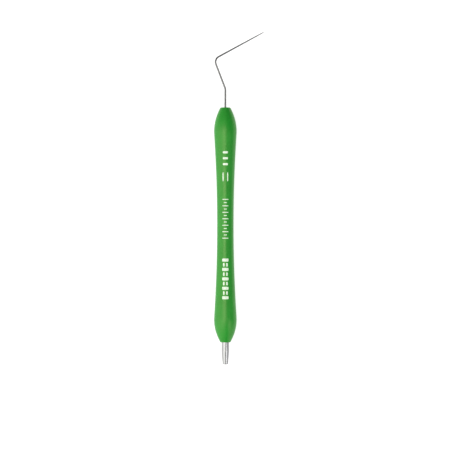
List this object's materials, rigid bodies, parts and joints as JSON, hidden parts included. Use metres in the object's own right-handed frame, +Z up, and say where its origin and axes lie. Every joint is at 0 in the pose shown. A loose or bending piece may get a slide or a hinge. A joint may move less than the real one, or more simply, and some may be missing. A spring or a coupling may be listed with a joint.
{
  "type": "dental explorer",
  "caption": "Single-ended dental explorer: a thin steel wire with two bends and a long tapered point, in a waisted soft-grip handle with a bare steel spigot at the butt.",
  "frame": {"origin": "centre of the bottom of the object's box, on the surface the instrument lies on", "axes": "+Z up from the surface; +Y along the handle towards the working end; +X to the side that the point leans to. The handle axis is 5.54 mm above the surface."},
  "size_m": [0.0245, 0.1632, 0.0111],
  "materials": {
    "silicone_green": "satin moulded silicone",
    "steel_tube": "drawn",
    "steel_polished": "turned and polished stainless steel",
    "steel_turned": "turned",
    "steel_wire": "satin ground",
    "ink_white": "pad-printed ink"
  },
  "bodies": {
    "root": {"grip_sleeve": "silicone_green", "core_tube": "steel_tube", "end_plug": "steel_polished", "tip_socket": "steel_turned", "working_tip": "steel_wire", "printed_marks": "ink_white"}
  },
  "joints": []
}
